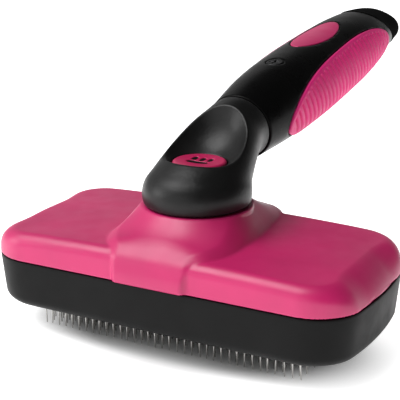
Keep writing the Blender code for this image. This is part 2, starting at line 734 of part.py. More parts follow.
def empty(name, parent=None):
    made = bpy.data.objects.new(name, None)
    PARTS.objects.link(made)
    made.parent = parent
    return made


def build():
    fixed = [make_cover(), make_base_plate(), make_cushion(), make_neck(), make_sleeve(),
             make_end_cap(), make_spring(), make_handle_screw()]
    fixed += [make_pin_comb(row) for row in range(PIN_ROWS)] + make_fasteners()
    for side, name in ((-1, "left"), (1, "right")):
        fixed.append(grip_patch(f"side_grip_{name}", side, GRIP_PROUD,
                                GRIP_DEPTH + GRIP_PROUD - GAP, 0.0, "soft_pink", PARTS))
    fixed.append(badge_plate("handle_badge", 0.0, 0.5, 0.0, "pink", PARTS))
    mark = rod("button_mark", MARK_RADIUS - 0.2, BUTTON_TOP_Z - 0.5, BUTTON_TOP_Z,
               y=BUTTON_Y, finish="black", group=PARTS)
    moving = [make_tray(), make_yoke(), make_plunger(), make_button(), mark]
    moving += make_moving_screws()
    brush = empty("brush_head_centre")
    brush.location = Vector((0, HEAD_Y, 0)) * MM
    slide = empty("button_slide", brush)
    for piece in fixed:
        piece.parent = brush
    for piece in moving:
        piece.parent = slide
    for tool in CUTTERS.objects:
        tool.parent = brush


build()
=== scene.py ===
"""Looks of the slicker brush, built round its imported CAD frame.

Moulded pieces are distance fields in millimetres, in the head's own frame: X along the
head, +Y towards the handle's tail, +Z up, with the head's centre at zero.
"""
import json
import math

import bpy
import bmesh
import numpy as np
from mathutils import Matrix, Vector


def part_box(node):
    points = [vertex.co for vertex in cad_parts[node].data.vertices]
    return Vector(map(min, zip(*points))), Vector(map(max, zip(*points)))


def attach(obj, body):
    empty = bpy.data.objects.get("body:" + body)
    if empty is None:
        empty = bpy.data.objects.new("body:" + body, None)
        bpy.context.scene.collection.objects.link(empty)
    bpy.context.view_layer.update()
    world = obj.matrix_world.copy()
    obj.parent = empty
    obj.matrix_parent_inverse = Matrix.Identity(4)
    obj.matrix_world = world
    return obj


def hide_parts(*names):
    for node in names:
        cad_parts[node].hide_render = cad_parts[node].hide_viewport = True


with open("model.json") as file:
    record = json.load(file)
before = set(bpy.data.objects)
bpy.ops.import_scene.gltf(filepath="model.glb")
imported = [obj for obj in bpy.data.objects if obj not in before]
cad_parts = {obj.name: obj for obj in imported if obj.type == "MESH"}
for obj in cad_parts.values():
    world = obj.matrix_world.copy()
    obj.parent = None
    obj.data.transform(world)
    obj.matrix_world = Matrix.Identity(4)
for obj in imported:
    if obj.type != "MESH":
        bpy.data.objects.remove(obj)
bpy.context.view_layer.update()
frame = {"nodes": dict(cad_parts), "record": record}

MM = 0.001


def box_mm(node):
    low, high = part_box(node)
    return np.array(low) / MM, np.array(high) / MM


# ---------------------------------------------------------------- sizes from the frame
COVER_LOW, COVER_HIGH = box_mm("head_cover")
TRAY_LOW, TRAY_HIGH = box_mm("stripper_tray")
BUTTON_LOW, BUTTON_HIGH = box_mm("thumb_button")
CAP_HIGH = box_mm("end_cap")[1]
HEAD_Y = (TRAY_LOW[1] + TRAY_HIGH[1]) / 2
BUTTON_Y = (BUTTON_LOW[1] + BUTTON_HIGH[1]) / 2 - HEAD_Y
HEAD_LENGTH = TRAY_HIGH[0] - TRAY_LOW[0]
HEAD_WIDTH = TRAY_HIGH[1] - TRAY_LOW[1]
TRAY_Z, PARTING_Z = TRAY_LOW[2], TRAY_HIGH[2]
COVER_Z = PARTING_Z + 0.3
COLLAR_Z = COVER_HIGH[2]
COVER_TOP_Z = PARTING_Z + 9.2
BUTTON_TOP_Z = BUTTON_HIGH[2]
BUTTON_RADIUS = (BUTTON_HIGH[0] - BUTTON_LOW[0]) / 2
TAIL_END = CAP_HIGH[1] - HEAD_Y
SLEEVE_START = 25.8

HEAD_CORNER = 11.0
END_BOW = 3.0                  # how far the head's short ends bulge
TRAY_WALL = 1.8
TRAY_TAPER = 0.9
TRAY_ROUND = 3.2
COVER_WALL = 2.0
BAND_RISE = 1.2
BAND_ROLL_FRONT, BAND_ROLL_BACK = 7.5, 3.4
COLLAR_RADIUS, COLLAR_Y = 15.0, 0.8
SPIGOT_RADIUS = 12.2
POST_X, POST_Y = 33.0, 13.0    # the four screw posts inside the cover
POST_RADIUS, PILOT_RADIUS = 3.4, 1.3
POST_LOW_Z = 15.7
PLUNGER_WAY = 3.3
SADDLE_WIDTHS = np.array((     # y, half width of the level top, half width at the foot
    (-28.0, 9.8, 10.5),
    (-25.0, 10.3, 11.6),
    (-21.5, 11.2, 15.2),
    (-16.0, 12.4, 18.4),
    (-9.0, 14.0, 19.4),
    (0.0, 15.2, 19.5),
    (8.0, 15.2, 18.6),
    (18.0, 14.3, 17.2),
    (28.0, 13.2, 14.2),
))

PIN_COLUMNS, PIN_ROWS = 36, 16
PIN_PITCH, ROW_PITCH = 2.25, 2.2
WIRE_RADIUS = 0.2
HOLE_RADIUS = 0.6

NECK_PIVOT = (28.4, 37.3)
NECK_SECTIONS = np.array((     # angle, inner and outer distance, half width
    (99.0, 6.1, 25.1, 9.9),
    (115.0, 7.7, 25.9, 9.9),
    (130.0, 9.3, 27.8, 10.9),
    (145.0, 10.6, 30.9, 12.1),
    (156.0, 11.6, 34.6, 13.0),
    (165.0, 12.2, 39.4, 13.9),
    (169.0, 12.4, 41.8, 14.6),
    (173.0, 12.6, 43.0, 14.95),
    (177.0, 12.7, 43.1, 14.9),
    (180.0, 12.8, 42.6, 14.5),
    (184.0, 13.0, 41.6, 13.8),
))
HANDLE_STATIONS = np.array((   # y, height, half width, half height
    (25.8, 52.6, 10.2, 9.8),
    (42.0, 55.2, 12.2, 11.4),
    (64.0, 58.2, 13.3, 12.0),
    (86.0, 61.1, 13.1, 11.7),
    (102.0, 63.3, 12.6, 11.2),
    (117.0, 65.2, 11.2, 9.9),
    (130.0, 66.2, 9.0, 8.0),
    (140.0, 65.9, 6.9, 5.9),
    (149.0, 65.1, 4.9, 3.9),
))
SCOOP_CENTRE, SCOOP_SIZE, SCOOP_STRETCH = (0.0, 3.0, 64.0), (18.0, 16.8, 17.6), 0.9
SCOOP_HALF_FRONT, SCOOP_HALF_BACK = 21.0, 15.2
TENON = (8.5, 8.1)
SLEEVE_WALL = 2.8
CAP_SPLIT, CAP_SLANT = (114.0, 75.6), math.radians(57.4)
GRIP_START, GRIP_END = 36.5, 121.5
GRIP_HALF_ANGLE, GRIP_DROP = math.radians(51.0), math.radians(14.0)
GRIP_POINT = 2.6               # how blunt the ends of the lens are
GRIP_DEPTH, GRIP_PROUD = 1.3, 0.4
RIB_PITCH, RIB_DEPTH = 2.75, 1.0
BADGE_CENTRE, BADGE_LENGTH, BADGE_WIDTH = 82.0, 31.0, 10.6
HANDLE_SCREW_Y = 51.0
LEG_X = 45.7                   # the tray's screws, under the ejector's legs
CROSS_HALF, CROSS_DEPTH = 0.26, 0.55

# painted light: the floor glows, and its glow fades out under the head to a painted contact shadow
PAINTED_FLOOR_GLOW = 0.95
PAINTED_SHADOW_HALF = (0.058, 0.034)     # half sizes of the painted contact shadow's rim under the head, metres
PAINTED_SHADOW_FROM, PAINTED_SHADOW_TO = 0.62, 1.05
SUN_WAY, SUN_POWER, SUN_ANGLE = (0.34, 0.33, -0.88), 1.55, 44.0

CAMERA_AZIMUTH, CAMERA_ELEVATION = math.radians(28.43), math.radians(17.24)
CAMERA_TARGET = Vector((-18.73, 36.88 + HEAD_Y, 25.06))
CAMERA_DISTANCE, CAMERA_VIEW = 356.9, math.radians(19.745)


# ---------------------------------------------------------------- distance fields
def both(a, b, radius=0.0):
    """Intersection of two fields, with its convex edge rounded to a radius."""
    if np.ndim(radius) == 0 and radius <= 0:
        return np.maximum(a, b)
    outside = np.hypot(np.maximum(a + radius, 0), np.maximum(b + radius, 0))
    return np.minimum(np.maximum(a, b), -radius) + outside


def either(a, b, radius=0.0):
    """Union of two fields, with its inner corner filleted to a radius."""
    return -both(-a, -b, radius)


def minus(a, b, radius=0.0):
    """The first field with the second cut away, and the cut's edge rounded."""
    return both(a, -b, radius)


def step_up(value, low, high):
    """A smooth step from 0 at low to 1 at high."""
    part = np.clip((value - low) / (high - low), 0, 1)
    return part * part * (3 - 2 * part)


def ellipsoid(x, y, z, centre, size):
    px, py, pz = (x - centre[0]) / size[0], (y - centre[1]) / size[1], (z - centre[2]) / size[2]
    near = np.sqrt(px * px + py * py + pz * pz) + 1e-9
    steep = np.sqrt((px / size[0]) ** 2 + (py / size[1]) ** 2 + (pz / size[2]) ** 2) + 1e-9
    return near * (near - 1) / steep


def oval(u, v, half_u, half_v):
    pu, pv = u / half_u, v / half_v
    near = np.hypot(pu, pv) + 1e-9
    steep = np.hypot(pu / half_u, pv / half_v) + 1e-9
    return near * (near - 1) / steep


def rod(x, y, z, radius, low, high, rounding=0.0):
    return both(np.hypot(x, y) - radius, np.maximum(low - z, z - high), rounding)


def curve_table(stations, count=400):
    """Samples a smooth curve through the rows of a table at even steps of its first column."""
    keys = np.linspace(stations[0, 0], stations[-1, 0], count)
    slopes = np.gradient(stations[:, 1:], stations[:, 0], axis=0)
    place = np.clip(np.searchsorted(stations[:, 0], keys, side="right") - 1, 0,
                    len(stations) - 2)
    span = (stations[place + 1, 0] - stations[place, 0])[:, None]
    part = (keys[:, None] - stations[place, 0][:, None]) / span
    low, high = stations[place, 1:], stations[place + 1, 1:]
    values = ((2 * part ** 3 - 3 * part ** 2 + 1) * low
              + (part ** 3 - 2 * part ** 2 + part) * span * slopes[place]
              + (3 * part ** 2 - 2 * part ** 3) * high
              + (part ** 3 - part ** 2) * span * slopes[place + 1])
    return keys, values


NECK_KEYS, NECK_VALUES = curve_table(NECK_SECTIONS)
SADDLE_KEYS, SADDLE_VALUES = curve_table(SADDLE_WIDTHS)
HANDLE_KEYS, HANDLE_VALUES = curve_table(HANDLE_STATIONS)
HANDLE_TILT = np.arctan(np.gradient(HANDLE_VALUES[:, 0], HANDLE_KEYS))


def handle_place(x, y, z):
    """Station, height above the axis and half sizes of the handle's section at points."""
    station = y
    for _ in range(3):
        tilt = np.interp(station, HANDLE_KEYS, HANDLE_TILT)
        rise = z - np.interp(station, HANDLE_KEYS, HANDLE_VALUES[:, 0])
        station = station + ((y - station) * np.cos(tilt) + rise * np.sin(tilt)) * np.cos(tilt)
    tilt = np.interp(station, HANDLE_KEYS, HANDLE_TILT)
    rise = z - np.interp(station, HANDLE_KEYS, HANDLE_VALUES[:, 0])
    height = rise * np.cos(tilt) - (y - station) * np.sin(tilt)
    half_width = np.interp(station, HANDLE_KEYS, HANDLE_VALUES[:, 1])
    half_height = np.interp(station, HANDLE_KEYS, HANDLE_VALUES[:, 2])
    return station, height, half_width, half_height


# ---------------------------------------------------------------- mesh from a field
def surface_net(field, low, high, step):
    """Points and quads of the surface where a field is zero, inside a box of cells."""
    counts = [int(math.ceil((b - a) / step)) + 1 for a, b in zip(low, high)]
    axes = [a + step * np.arange(n) for a, n in zip(low, counts)]
    grid = np.meshgrid(*axes, indexing="ij")
    value = field(*grid)
    inside = value < 0
    cells = tuple(n - 1 for n in counts)
    total = np.zeros(cells + (3,))
    hits = np.zeros(cells)
    for axis in range(3):
        near = [slice(None)] * 3
        far = [slice(None)] * 3
        near[axis], far[axis] = slice(0, -1), slice(1, None)
        near, far = tuple(near), tuple(far)
        crossing = inside[near] != inside[far]
        gap = np.where(crossing, value[near] - value[far], 1.0)
        part = np.where(crossing, value[near] / gap, 0.0)
        spot = [g[near] for g in grid]
        spot[axis] = spot[axis] + part * step
        others = [k for k in range(3) if k != axis]
        for shift_a in (0, 1):
            for shift_b in (0, 1):
                pick = [slice(None)] * 3
                for k, shift in zip(others, (shift_a, shift_b)):
                    pick[k] = slice(shift, shift + cells[k])
                pick = tuple(pick)
                here = crossing[pick]
                hits += here
                for k in range(3):
                    total[..., k] += spot[k][pick] * here
    used = hits > 0
    index = np.full(cells, -1)
    index[used] = np.arange(used.sum())
    points = total[used] / hits[used][:, None]
    quads = []
    for axis in range(3):
        a, b = [k for k in range(3) if k != axis]
        near = [slice(1, -1)] * 3
        far = [slice(1, -1)] * 3
        near[axis], far[axis] = slice(0, -1), slice(1, None)
        first, second = inside[tuple(near)], inside[tuple(far)]
        for starts_inside in (True, False):
            crossing = (first != second) & (first == starts_inside)
            where = np.argwhere(crossing)
            where[:, a] += 1
            where[:, b] += 1
            corners = []
            for da, db in ((0, 0), (1, 0), (1, 1), (0, 1)):
                cell = where.copy()
                cell[:, a] -= 1 - da
                cell[:, b] -= 1 - db
                corners.append(index[cell[:, 0], cell[:, 1], cell[:, 2]])
            quad = np.stack(corners, axis=1)
            outward = starts_inside == (axis != 1)
            quads.append(quad if outward else quad[:, ::-1])
    return points, np.concatenate(quads)


def settle(field, points, step, rounds=4):
    """Slides points onto the field's zero surface."""
    reach = step * 0.05
    for _ in range(rounds):
        value = field(*points.T)
        slope = np.empty_like(points)
        for k in range(3):
            ahead, behind = points.copy(), points.copy()
            ahead[:, k] += reach
            behind[:, k] -= reach
            slope[:, k] = (field(*ahead.T) - field(*behind.T)) / (2 * reach)
        size = np.maximum((slope ** 2).sum(axis=1), 0.2)
        move = -(value / size)[:, None] * slope
        far = np.linalg.norm(move, axis=1, keepdims=True)
        points = points + move * np.minimum(1.0, step * 0.5 / np.maximum(far, 1e-9))
    return points


def link(name, mesh, finish):
    made = bpy.data.objects.new(name, mesh)
    bpy.context.scene.collection.objects.link(made)
    mesh.materials.append(finish)
    return made


def moulded(name, field, low, high, step, finish, node, body):
    """A piece meshed from its distance field, in place of a CAD node."""
    points, quads = surface_net(field, low, high, step)
    points = settle(field, points, step)
    mesh = bpy.data.meshes.new(name)
    mesh.from_pydata((points + (0, HEAD_Y, 0)) * MM, [], quads.tolist())
    mesh.shade_smooth()
    fit_in(link(name, mesh, finish), [node], body)


def fit_in(made, nodes, body):
    """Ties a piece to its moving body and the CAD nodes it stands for."""
    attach(made, body)
    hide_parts(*nodes)


# ---------------------------------------------------------------- materials
class Finish:
    """A small builder for one procedural Principled material."""

    def __init__(self, name, roughness, metallic=0.0, **sockets):
        self.material = bpy.data.materials.new(name)
        self.material.use_nodes = True
        self.tree = self.material.node_tree
        self.shader = self.tree.nodes["Principled BSDF"]
        self.shader.inputs["Metallic"].default_value = metallic
        self.shader.inputs["Roughness"].default_value = roughness
        for key, value in sockets.items():
            self.shader.inputs[key.replace("_", " ")].default_value = value
        self.spot = self.tree.nodes.new("ShaderNodeTexCoord").outputs["Object"]
        self.bump = None

    def noise(self, scale, detail=2.0, stretch=None):
        spot = self.spot
        if stretch:
            mapping = self.tree.nodes.new("ShaderNodeMapping")
            mapping.inputs["Scale"].default_value = stretch
            self.tree.links.new(spot, mapping.inputs["Vector"])
            spot = mapping.outputs["Vector"]
        node = self.tree.nodes.new("ShaderNodeTexNoise")
        node.inputs["Scale"].default_value = scale
        node.inputs["Detail"].default_value = detail
        self.tree.links.new(spot, node.inputs["Vector"])
        return node.outputs["Fac"]

    def spread(self, source, low, high):
        node = self.tree.nodes.new("ShaderNodeMapRange")
        node.inputs["From Min"].default_value = 0.3
        node.inputs["From Max"].default_value = 0.7
        node.inputs["To Min"].default_value = low
        node.inputs["To Max"].default_value = high
        self.tree.links.new(source, node.inputs["Value"])
        return node.outputs["Result"]

    def colours(self, source, *stops):
        ramp = self.tree.nodes.new("ShaderNodeValToRGB")
        points = ramp.color_ramp.elements
        while len(points) < len(stops):
            points.new(0.5)
        for point, (place, colour) in zip(points, stops):
            point.position = place
            point.color = (*colour, 1.0)
        self.tree.links.new(source, ramp.inputs["Fac"])
        self.tree.links.new(ramp.outputs["Color"], self.shader.inputs["Base Color"])

    def rough(self, source, low, high):
        self.tree.links.new(self.spread(source, low, high), self.shader.inputs["Roughness"])

    def relief(self, source, strength, distance):
        node = self.tree.nodes.new("ShaderNodeBump")
        node.inputs["Strength"].default_value = strength
        node.inputs["Distance"].default_value = distance * MM
        self.tree.links.new(source, node.inputs["Height"])
        if self.bump:
            self.tree.links.new(self.bump, node.inputs["Normal"])
        self.bump = node.outputs["Normal"]
        self.tree.links.new(self.bump, self.shader.inputs["Normal"])


def plastic(name, colour, low, high, grain=1400.0, depth=0.02, **sockets):
    """Moulded plastic: slight colour drift, patchy gloss and a fine spark-eroded grain."""
    made = Finish(name, (low + high) / 2, **sockets)
    dark = tuple(c * 0.93 for c in colour)
    light = tuple(min(c * 1.05, 1.0) for c in colour)
    made.colours(made.noise(60.0, 3.0), (0.35, dark), (0.65, light))
    made.rough(made.noise(160.0, 4.0), low, high)
    made.relief(made.noise(grain, 2.0), 0.35, depth)
    made.relief(made.noise(90.0, 1.0), 0.12, depth * 2)
    return made.material


def steel(name, colour, low, high, stretch=(1.0, 1.0, 0.08)):
    made = Finish(name, (low + high) / 2, metallic=1.0)
    dark = tuple(c * 0.75 for c in colour)
    made.colours(made.noise(900.0, 3.0, stretch), (0.3, dark), (0.7, colour))
    made.rough(made.noise(1200.0, 3.0, stretch), low, high)
    made.relief(made.noise(2600.0, 2.0, stretch), 0.25, 0.01)
    return made.material


DULL = {"Specular_IOR_Level": 0.10}
PINK = plastic("pink_abs", (0.54, 0.017, 0.126), 0.32, 0.44, grain=1500.0, depth=0.012)
BUTTON_PINK = plastic("button_pink", (0.52, 0.016, 0.10), 0.28, 0.38, depth=0.01)
SOFT_PINK = plastic("soft_pink", (0.72, 0.014, 0.19), 0.48, 0.62, grain=2200.0, depth=0.02)
BLACK = plastic("black_abs", (0.003, 0.003, 0.003), 0.24, 0.34, grain=1600.0, depth=0.015,
                Specular_IOR_Level=0.05)
NECK_BLACK = plastic("neck_black", (0.005, 0.005, 0.005), 0.34, 0.46, grain=1100.0, depth=0.10,
                     Specular_IOR_Level=0.30)
TRAY_BLACK = plastic("tray_black", (0.006, 0.006, 0.006), 0.42, 0.54, grain=1300.0, depth=0.02,
                     **DULL)
SOFT_BLACK = plastic("soft_black", (0.010, 0.010, 0.010), 0.62, 0.74, grain=2000.0, depth=0.03,
                     Specular_IOR_Level=0.0)
MARK_BLACK = plastic("mark_black", (0.006, 0.006, 0.006), 0.38, 0.48, depth=0.01, **DULL)
INNER = plastic("inner_plastic", (0.09, 0.09, 0.10), 0.45, 0.58)
RUBBER = plastic("cushion_rubber", (0.035, 0.033, 0.032), 0.7, 0.85, grain=900.0, depth=0.05)
WIRE = steel("pin_wire", (0.50, 0.49, 0.47), 0.2, 0.34)
SPRING = steel("spring_wire", (0.55, 0.55, 0.57), 0.25, 0.4, (1.0, 1.0, 1.0))
SCREW = steel("screw_steel", (0.52, 0.52, 0.54), 0.28, 0.42, (1.0, 1.0, 1.0))
DARK_SCREW = steel("dark_screw", (0.045, 0.045, 0.047), 0.35, 0.5, (1.0, 1.0, 1.0))


# ---------------------------------------------------------------- head
def head_edge(x, y, inset):
    """Distance to the head's outline, a rounded rectangle with bowed ends."""
    half_x, half_y = HEAD_LENGTH / 2 - END_BOW - inset, HEAD_WIDTH / 2 - inset
    radius = np.maximum(HEAD_CORNER - 0.6 * inset, 1.5)
    bow = END_BOW * np.clip(1 - (y / half_y) ** 2, 0, 1)
    qx, qy = np.abs(x) - bow - half_x + radius, np.abs(y) - half_y + radius
    return (np.hypot(np.maximum(qx, 0), np.maximum(qy, 0))
            + np.minimum(np.maximum(qx, qy), 0) - radius)


def saddle(x, y, z):
    """The raised band over the cover, widening into the flared collar under the neck."""
    reach = np.hypot(x, y - COLLAR_Y)
    top_half, foot_half = (np.interp(y, SADDLE_KEYS, SADDLE_VALUES[:, k]) for k in (0, 1))
    base = COVER_TOP_Z + BAND_RISE
    behind = step_up(y, -5.0, 12.0)
    part = np.clip((reach - COLLAR_RADIUS - 0.4) / (11.5 + 0.5 * behind), 0, 1)
    fall = 1 - (1 - part) ** (2.1 - 0.7 * behind)
    rise = base + (COLLAR_Z - base) * (1 - fall)
    roll = BAND_ROLL_FRONT + (BAND_ROLL_BACK - BAND_ROLL_FRONT) * behind
    top = both((z - rise) * 0.85, head_edge(x, y, -BAND_RISE), roll)
    beyond = foot_half - np.abs(x)
    bank = COVER_TOP_Z - 0.4 + beyond + 0.13 * beyond * np.abs(beyond)
    collar = both(reach - COLLAR_RADIUS - 0.4, z - COLLAR_Z, 0.4)
    body = both(top, (z - bank) * 0.6, 2.2)
    band = both(body, np.abs(x) - np.maximum(foot_half - 0.3, top_half), 0.9)
    return np.minimum(band, collar)


def cover_skin(x, y, z):
    """The cover's outside and inside: softer at mid-end, and crowned towards the front."""
    draft = 0.4 * (z - COVER_Z) / (COVER_TOP_Z - COVER_Z)
    ends = step_up(np.abs(x), 36.0, 54.0)
    softer = 3.4 + 0.7 * ends + 5.6 * ends * (1 - step_up(np.abs(y + 1.0), 7.0, 24.0))
    crown = COVER_TOP_Z - 1.5 * np.abs(x / 55.0) ** 2.2 - 0.6 * step_up(-y, 2.0, 26.0)
    outside = both(head_edge(x, y, draft), z - crown, softer)
    outside = either(outside, saddle(x, y, z), 0.9)
    inside = both(head_edge(x, y, COVER_WALL), z - crown + COVER_WALL, softer - 1.5)
    return outside, inside


def cover_field(x, y, z):
    shell = minus(*cover_skin(x, y, z), 0.3)
    shell = either(shell, rod(x, y, z, 17.0, COVER_TOP_Z - 2.3, COVER_TOP_Z - 0.8), 0.3)
    shell = minus(shell, rod(x, y, z, SPIGOT_RADIUS + 0.3, COVER_TOP_Z, COLLAR_Z + 9), 0.2)
    shell = minus(shell, rod(x, y - BUTTON_Y, z, PLUNGER_WAY + 0.3, 0, COVER_TOP_Z + 4), 0.2)
    across, along = np.abs(x) - POST_X, np.abs(y) - POST_Y
    post_top_z, pilot_top_z = COVER_TOP_Z - 2, COVER_TOP_Z - 5.5
    pilot = rod(across, along, z, PILOT_RADIUS, 10, pilot_top_z)
    shell = either(shell, rod(across, along, z, POST_RADIUS, POST_LOW_Z, post_top_z), 0.5)
    shell = both(minus(shell, pilot), COVER_Z - z, 0.25)
    posts = minus(rod(across, along, z, POST_RADIUS, POST_LOW_Z, post_top_z, 0.3), pilot)
    return np.minimum(shell, posts)


def make_cover():
    half_y = HEAD_WIDTH / 2 + BAND_RISE + 1
    half_x = HEAD_LENGTH / 2 + 1
    moulded("pink_cover", cover_field, (-half_x, -half_y, 14.6), (half_x, half_y, 38.0), 0.5,
            PINK, "head_cover", "root")


def outline_ring(inset, count=160):
    """Points on the head's outline at an inset, found on the field by halving."""
    turn = np.linspace(0, 2 * math.pi, count, endpoint=False)
    turn = turn - 0.16 * np.sin(2 * turn)
    low, high = np.zeros(count), np.full(count, 80.0)
    for _ in range(40):
        reach = (low + high) / 2
        outside = head_edge(reach * np.cos(turn), reach * np.sin(turn), inset) > 0
        high = np.where(outside, reach, high)
        low = np.where(outside, low, reach)
    return np.stack([low * np.cos(turn), low * np.sin(turn)], axis=1)


def add_vert(shape, x, y, z):
    return shape.verts.new(Vector((x, y + HEAD_Y, z)) * MM)


def add_ring(shape, inset, z):
    """A ring of vertices along the head's outline."""
    return [add_vert(shape, x, y, z) for x, y in outline_ring(inset)]


def add_circle(shape, x, y, z, radius, count):
    turns = [2 * math.pi * k / count for k in range(count)]
    return [add_vert(shape, x + radius * math.cos(t), y + radius * math.sin(t), z)
            for t in turns]


def join_rings(shape, rings):
    for low, high in zip(rings, rings[1:]):
        for i in range(len(low)):
            j = (i + 1) % len(low)
            shape.faces.new((low[i], low[j], high[j], high[i]))


def pin_places():
    """Centres of all pins and holes, row by row, every second row shifted half a pitch."""
    for row in range(PIN_ROWS):
        shifted = row % 2
        for column in range(PIN_COLUMNS - shifted):
            x = (column - (PIN_COLUMNS - 1 - shifted) / 2) * PIN_PITCH
            yield x, (row - (PIN_ROWS - 1) / 2) * ROW_PITCH


def perforated_plate(shape, low_z, high_z):
    """Both faces and the hole walls of the pin field."""
    points = {}

    def vert(x, y, z):
        key = (round(x, 3), round(y, 3), z)
        if key not in points:
            points[key] = add_vert(shape, x, y, z)
        return points[key]

    half_p, half_r = PIN_PITCH / 2, ROW_PITCH / 2
    for x, y in pin_places():
        edge = [(half_p, 0), (half_p, half_r), (0, half_r), (-half_p, half_r),
                (-half_p, 0), (-half_p, -half_r), (0, -half_r), (half_p, -half_r)]
        rims = {}
        for z in (low_z, high_z):
            hole = add_circle(shape, x, y, z, HOLE_RADIUS, 16)
            border = [vert(x + dx, y + dy, z) for dx, dy in edge]
            rims[z] = hole
            for k in range(8):
                face = [border[k], border[(k + 1) % 8], hole[(2 * k + 2) % 16],
                        hole[2 * k + 1], hole[2 * k]]
                shape.faces.new(face if z == high_z else face[::-1])
        for k in range(16):
            j = (k + 1) % 16
            shape.faces.new((rims[low_z][j], rims[low_z][k], rims[high_z][k], rims[high_z][j]))
    for row in range(1, PIN_ROWS, 2):
        y = (row - (PIN_ROWS - 1) / 2) * ROW_PITCH
        for side in (-1, 1):
            outer = side * PIN_COLUMNS / 2 * PIN_PITCH
            inner = outer - side * half_p
            for z in (low_z, high_z):
                face = [vert(outer, y - half_r, z), vert(outer, y, z), vert(outer, y + half_r, z),
                        vert(inner, y + half_r, z), vert(inner, y, z), vert(inner, y - half_r, z)]
                flip = (side > 0) == (z == high_z)
                shape.faces.new(face if flip else face[::-1])


def screw_seat(shape, x, y, low_z, high_z):
    """The stepped hole that a tray screw sits in."""
    rings = []
    for radius, z in ((2.1, low_z), (2.1, low_z + 1.0), (1.3, low_z + 1.0), (1.3, high_z)):
        rings.append(add_circle(shape, x, y, z, radius, 20))
    join_rings(shape, rings)


def make_tray():
    """The black tray: rounded walls, a flat face and one small hole for each pin."""
    shape = bmesh.new()
    floor_z = TRAY_Z + TRAY_WALL
    outer = []
    for turn in np.linspace(0, math.pi / 2, 8):
        inset = TRAY_TAPER + TRAY_ROUND * (1 - math.sin(turn))
        outer.append(add_ring(shape, inset, TRAY_Z + TRAY_ROUND * (1 - math.cos(turn))))
    for part in (0.25, 0.5, 0.75, 0.93):
        z = TRAY_Z + TRAY_ROUND + (PARTING_Z - TRAY_Z - TRAY_ROUND) * part
        outer.append(add_ring(shape, TRAY_TAPER * (1 - part), z))
    outer.append(add_ring(shape, 0.06, PARTING_Z - 0.35))
    outer.append(add_ring(shape, 0.15, PARTING_Z - 0.1))
    outer.append(add_ring(shape, 0.4, PARTING_Z))
    inner = [add_ring(shape, TRAY_WALL - 0.3, PARTING_Z),
             add_ring(shape, TRAY_WALL, PARTING_Z - 0.3)]
    inner.append(add_ring(shape, TRAY_TAPER + TRAY_WALL, TRAY_Z + TRAY_ROUND))
    inner.append(add_ring(shape, TRAY_TAPER + TRAY_WALL + 0.6, floor_z + 0.6))
    inner.append(add_ring(shape, TRAY_TAPER + TRAY_WALL + 2.2, floor_z))
    join_rings(shape, outer + inner)
    perforated_plate(shape, TRAY_Z, floor_z)
    for side in (-1, 1):
        screw_seat(shape, side * LEG_X, 0.0, TRAY_Z, floor_z)
    for z in (TRAY_Z, floor_z):
        rim = [e for e in shape.edges if e.is_boundary
               and all(abs(v.co.z - z * MM) < 1e-6 for v in e.verts)]
        bmesh.ops.triangle_fill(shape, use_beauty=True, edges=rim)
    bmesh.ops.recalc_face_normals(shape, faces=shape.faces)
    mesh = bpy.data.meshes.new("tray")
    shape.to_mesh(mesh)
    shape.free()
    mesh.shade_smooth()
    mesh.set_sharp_from_angle(angle=math.radians(32))
    tray = link("perforated_tray", mesh, TRAY_BLACK)
    fit_in(tray, ["stripper_tray"], "ejector")


def make_pins():
    """Every bent wire pin of the field, as one mesh of thin tubes with ground tips."""
    rng = np.random.default_rng(7)
    points, faces = [], []
    sides = 6
    crown_z = box_mm("pin_comb_1")[1][2]
    for x, y in pin_places():
        lean = -0.42 + 0.16 * rng.standard_normal()
        drift = 0.24 * rng.standard_normal()
        knee = 5.0 + 0.3 * rng.standard_normal()
        tip = 0.02 + 0.16 * rng.random()
        path = [(0, -lean, crown_z - 0.2), (0, -0.95 * lean, TRAY_Z + 1.8),
                (0.1 * drift, 0.7 * lean, knee + 0.3), (0.3 * drift, lean, knee - 0.5),
                (drift, 0.6 * lean, tip + 0.25), (1.04 * drift, 0.55 * lean, tip)]
        first = len(points)
        for k, (dx, dy, z) in enumerate(path):
            radius = WIRE_RADIUS if k < len(path) - 1 else WIRE_RADIUS * 0.45
            for s in range(sides):
                turn = 2 * math.pi * s / sides
                points.append(((x + dx + radius * math.cos(turn)) * MM,
                               (y + dy + radius * math.sin(turn) + HEAD_Y) * MM, z * MM))
        for k in range(len(path) - 1):
            for s in range(sides):
                a, b = first + k * sides + s, first + k * sides + (s + 1) % sides
                faces.append((b, a, a + sides, b + sides))
        faces.append([first + s for s in range(sides)])
        last = first + (len(path) - 1) * sides
        faces.append([last + s for s in reversed(range(sides))])
    mesh = bpy.data.meshes.new("pins")
    mesh.from_pydata(points, [], faces)
    mesh.shade_smooth()
    mesh.set_sharp_from_angle(angle=math.radians(50))
    pins = link("wire_pins", mesh, WIRE)
    fit_in(pins, [f"pin_comb_{k + 1}" for k in range(7)], "root")


# ---------------------------------------------------------------- neck and button
def neck_body(x, y, z):
    """The elbow, swept round a pivot behind it, and the tenon that the handle sits on."""
    back, up = y - NECK_PIVOT[0], z - NECK_PIVOT[1]
    reach = np.hypot(back, up)
    turn = np.degrees(np.arctan2(up, back))
    turn = np.where(turn < -90, turn + 360, turn)
    inner, outer, half = (np.interp(turn, NECK_KEYS, NECK_VALUES[:, k]) for k in range(3))
    bend = oval(x, reach - (inner + outer) / 2, half, (outer - inner) / 2)
    bend = both(bend, np.maximum(turn - 180, 100.2 - turn) * np.radians(1) * reach, 0.6)
    station, height, _, _ = handle_place(x, y, z)
    tenon = both(oval(x, height, *TENON), np.maximum(SLEEVE_START - 0.5 - station, station - 56.0),
                 0.8)
    return np.minimum(bend, tenon)


